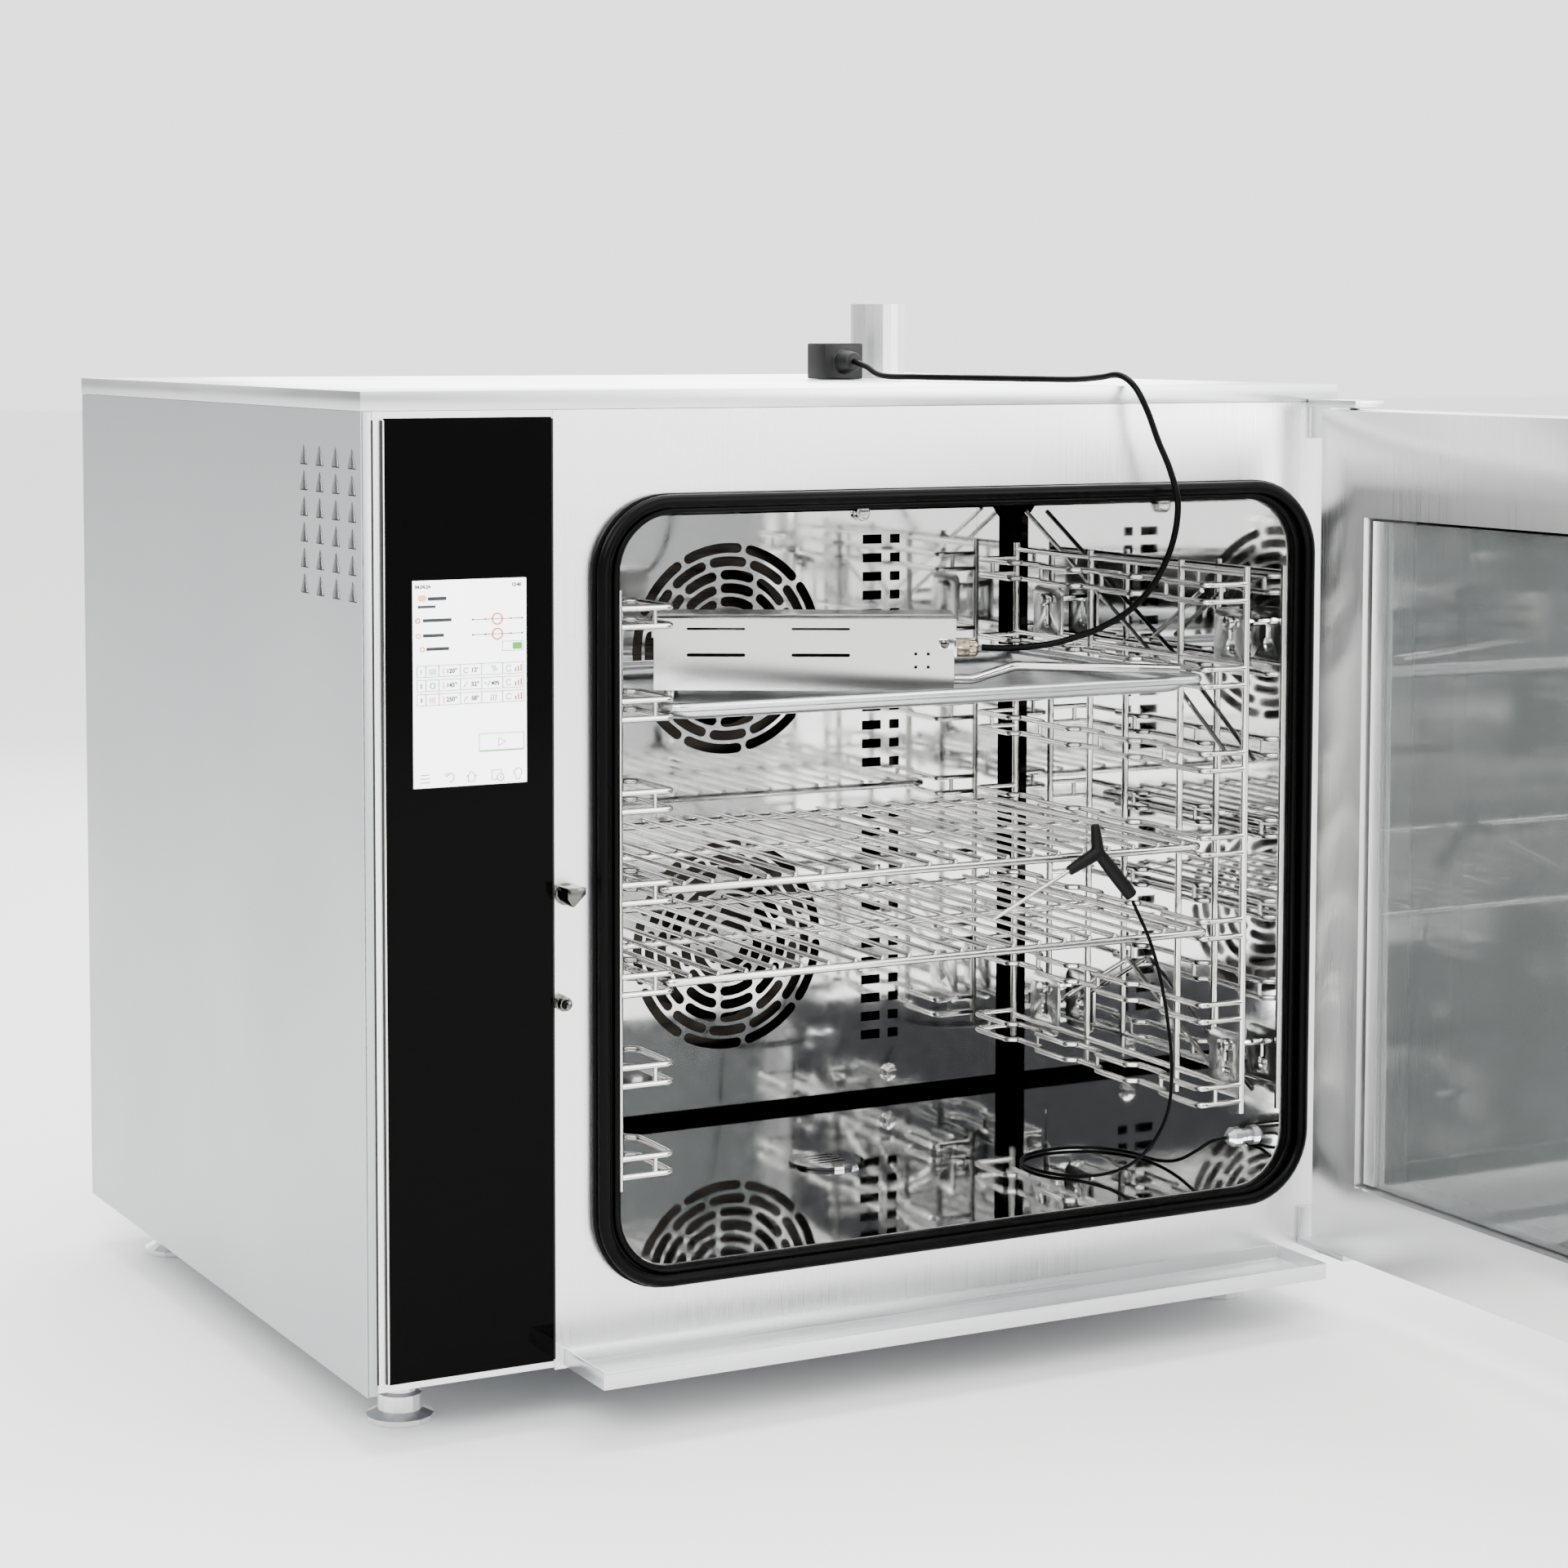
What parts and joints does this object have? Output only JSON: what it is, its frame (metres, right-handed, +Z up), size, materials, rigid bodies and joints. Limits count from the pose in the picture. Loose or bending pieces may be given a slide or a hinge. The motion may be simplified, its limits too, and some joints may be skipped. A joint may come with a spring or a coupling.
{
  "type": "combi steamer oven",
  "caption": "Counter-top combi steamer oven with a left control column, an open right-hinged door, wire racks and shelves, a tray with a smoker box and a core probe.",
  "frame": {"origin": "middle of the whole oven's footprint, open door included, at the soles of the feet", "axes": "+X to the user's right, +Y to the back, +Z up; the front faces -Y"},
  "size_m": [0.9456, 1.4386, 0.842],
  "materials": {
    "black_glass": "black enamelled safety glass, opaque",
    "black_plastic": "matt black",
    "black_rubber": "black silicone",
    "brass_fitting": "turned brass",
    "brushed_steel": "satin, brushed",
    "cast_aluminium": "die cast",
    "circuit_board": "green circuit board",
    "clear_glass": "clear heat-resistant glass",
    "mineral_wool": "mineral wool",
    "polished_steel": "mirror polished",
    "screen_face": "lit display face",
    "wire_steel": "electropolished wire",
    "zinc_sheet": "zinc-plated sheet"
  },
  "bodies": {
    "root": {"base_frame": "zinc_sheet", "cavity_liner": "polished_steel", "control_board": "circuit_board", "control_column": "brushed_steel", "control_glass": "black_glass", "cooling_fan_frame": "black_plastic", "door_gasket": "black_rubber", "door_hinge_bottom": "brushed_steel", "door_hinge_top": "brushed_steel", "door_switch_body": "polished_steel", "drain_pipe": "brushed_steel", "drain_strainer": "polished_steel", "drip_gutter": "brushed_steel", "exhaust_pipe": "brushed_steel", "fan_baffle": "polished_steel", "fan_motor_lower": "cast_aluminium", "fan_motor_upper": "cast_aluminium", "foot_front_left": "brushed_steel", "foot_front_right": "brushed_steel", "foot_rear_left": "brushed_steel", "foot_rear_right": "brushed_steel", "front_frame": "brushed_steel", "heating_element_lower": "wire_steel", "heating_element_upper": "wire_steel", "insulation_jacket": "mineral_wool", "latch_striker": "polished_steel", "left_side_panel": "brushed_steel", "mains_gland": "black_plastic", "probe_cable": "black_rubber", "probe_gland": "brushed_steel", "rack_left": "wire_steel", "rack_right": "wire_steel", "rear_panel": "zinc_sheet", "right_side_panel": "brushed_steel", "smoker_cable": "black_rubber", "smoker_socket": "black_plastic", "steam_generator": "brushed_steel", "top_panel": "brushed_steel", "touch_screen": "screen_face", "water_inlet": "brass_fitting"},
    "door": {"door_frame": "brushed_steel", "door_outer_glass": "black_glass", "handle_mount": "cast_aluminium"},
    "inner_pane": {"door_inner_glass": "clear_glass", "inner_glass_hinge_strip": "brushed_steel"},
    "handle": {"door_handle": "black_plastic"},
    "fan_upper": {"fan_wheel_upper": "brushed_steel"},
    "fan_lower": {"fan_wheel_lower": "brushed_steel"},
    "cooling_rotor": {"cooling_fan_rotor": "black_plastic"},
    "flap": {"exhaust_flap": "wire_steel"},
    "shelf_upper": {"wire_shelf_upper": "wire_steel", "probe_grip": "black_rubber", "probe_needle": "polished_steel"},
    "shelf_lower": {"wire_shelf_lower": "wire_steel"},
    "tray": {"baking_tray": "brushed_steel", "smoker_box": "brushed_steel", "smoker_gland": "brushed_steel", "smoker_handle": "wire_steel"},
    "smoker_lid": {"smoker_lid": "brushed_steel"},
    "switch_plunger": {"door_switch_plunger": "polished_steel"}
  },
  "joints": [
    {"name": "door_hinge", "type": "hinge", "parent": "root", "child": "door", "pos_m": [0.37475, -0.02285, 0.41], "axis": [0, 0, 1], "range_deg": [-90, 40], "deforming": ["smoker_cable"]},
    {"name": "handle_turn", "type": "hinge", "parent": "door", "child": "handle", "pos_m": [0.43475, -0.67885, 0.402], "axis": [1, 0, 0], "range_deg": [0, 60]},
    {"name": "inner_pane_hinge", "type": "hinge", "parent": "door", "child": "inner_pane", "pos_m": [0.35975, -0.07585, 0.41], "axis": [0, 0, -1], "range_deg": [0, 60]},
    {"name": "fan_upper_spin", "type": "hinge", "parent": "root", "child": "fan_upper", "pos_m": [0.04025, 0.49715, 0.535], "axis": [0, 1, 0], "continuous": true},
    {"name": "fan_lower_spin", "type": "hinge", "parent": "root", "child": "fan_lower", "pos_m": [0.04025, 0.49715, 0.268], "axis": [0, 1, 0], "continuous": true},
    {"name": "cooling_fan_spin", "type": "hinge", "parent": "root", "child": "cooling_rotor", "pos_m": [-0.37425, 0.65815, 0.61], "axis": [0, 1, 0], "continuous": true},
    {"name": "exhaust_flap_turn", "type": "hinge", "parent": "root", "child": "flap", "pos_m": [0.21075, 0.47715, 0.742], "axis": [1, 0, 0], "range_deg": [0, 90]},
    {"name": "upper_shelf_slide", "type": "slide", "parent": "root", "child": "shelf_upper", "axis": [0, -1, 0], "range_m": [0, 0.26], "deforming": ["probe_cable"]},
    {"name": "lower_shelf_slide", "type": "slide", "parent": "root", "child": "shelf_lower", "axis": [0, -1, 0], "range_m": [0, 0.26]},
    {"name": "tray_slide", "type": "slide", "parent": "root", "child": "tray", "axis": [0, -1, 0], "range_m": [0, 0.26]},
    {"name": "smoker_lid_hinge", "type": "hinge", "parent": "tray", "child": "smoker_lid", "pos_m": [0.1005, 0.15662, 0.5884], "axis": [-0.8829, 0.4695, 0], "range_deg": [0, 50]},
    {"name": "door_switch_press", "type": "slide", "parent": "root", "child": "switch_plunger", "axis": [0, 1, 0], "range_m": [0, 0.004], "stiffness_N_per_m": 300}
  ]
}
